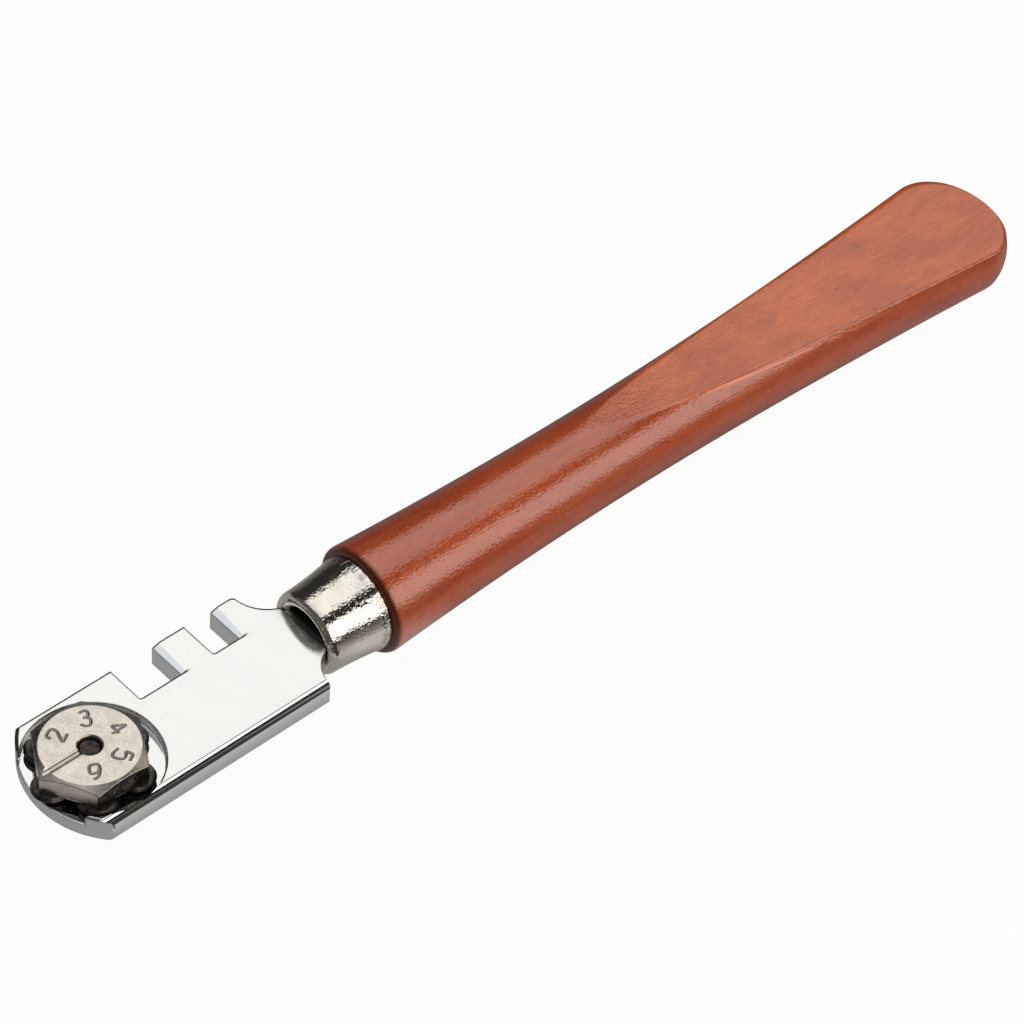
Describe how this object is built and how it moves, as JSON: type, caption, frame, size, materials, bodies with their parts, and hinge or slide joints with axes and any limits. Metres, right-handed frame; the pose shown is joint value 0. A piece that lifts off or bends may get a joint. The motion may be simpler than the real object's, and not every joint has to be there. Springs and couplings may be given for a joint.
{
  "type": "glass cutter",
  "caption": "Hand glass cutter: flat chromed head with an indexing turret of scoring wheels and breaker notches, a flared ferrule and a wooden paddle handle.",
  "frame": {"origin": "under the middle of the tool, level with its lowest point, the handle's round shoulder", "axes": "+X from the wheel at the tip to the end of the handle, +Z out of the face with the turret, +Y out of the notched edge of the head"},
  "size_m": [0.1336, 0.0152, 0.0122],
  "materials": {
    "polished_chrome": "polished",
    "satin_nickel": "satin nickel plate",
    "nickel_plate": "thin nickel plate, slightly rippled",
    "tool_steel": "dark hardened steel",
    "dark_steel": "blackened steel",
    "spring_steel": "bright spring steel",
    "varnished_wood": "red-brown varnish"
  },
  "bodies": {
    "tool_body": {"head_plate": "polished_chrome", "spring_washer": "spring_steel", "ferrule": "nickel_plate", "handle": "varnished_wood"},
    "turret": {"turret_cap": "satin_nickel", "axle_1": "dark_steel", "axle_2": "dark_steel", "axle_3": "dark_steel", "axle_4": "dark_steel", "axle_5": "dark_steel", "axle_6": "dark_steel"},
    "pivot_screw": {"pivot_screw": "dark_steel"},
    "wheel_1": {"wheel_1": "tool_steel"},
    "wheel_2": {"wheel_2": "tool_steel"},
    "wheel_3": {"wheel_3": "tool_steel"},
    "wheel_4": {"wheel_4": "tool_steel"},
    "wheel_5": {"wheel_5": "tool_steel"},
    "wheel_6": {"wheel_6": "tool_steel"}
  },
  "joints": [
    {"name": "turret_index", "type": "hinge", "parent": "tool_body", "child": "turret", "pos_m": [-0.06005, 0, 0.0085], "axis": [0, 0, 1], "continuous": true},
    {"name": "screw_turn", "type": "hinge", "parent": "tool_body", "child": "pivot_screw", "pos_m": [-0.06005, 0, 0.0061], "axis": [0, 0, 1], "continuous": true},
    {"name": "wheel_1_spin", "type": "hinge", "parent": "turret", "child": "wheel_1", "pos_m": [-0.0648, 0, 0.00698], "axis": [0, 0, 1], "continuous": true},
    {"name": "wheel_2_spin", "type": "hinge", "parent": "turret", "child": "wheel_2", "pos_m": [-0.06243, 0.00411, 0.00698], "axis": [0, 0, 1], "continuous": true},
    {"name": "wheel_3_spin", "type": "hinge", "parent": "turret", "child": "wheel_3", "pos_m": [-0.05767, 0.00411, 0.00698], "axis": [0, 0, 1], "continuous": true},
    {"name": "wheel_4_spin", "type": "hinge", "parent": "turret", "child": "wheel_4", "pos_m": [-0.0553, 0, 0.00698], "axis": [0, 0, 1], "continuous": true},
    {"name": "wheel_5_spin", "type": "hinge", "parent": "turret", "child": "wheel_5", "pos_m": [-0.05767, -0.00411, 0.00698], "axis": [0, 0, 1], "continuous": true},
    {"name": "wheel_6_spin", "type": "hinge", "parent": "turret", "child": "wheel_6", "pos_m": [-0.06243, -0.00411, 0.00698], "axis": [0, 0, 1], "continuous": true}
  ]
}
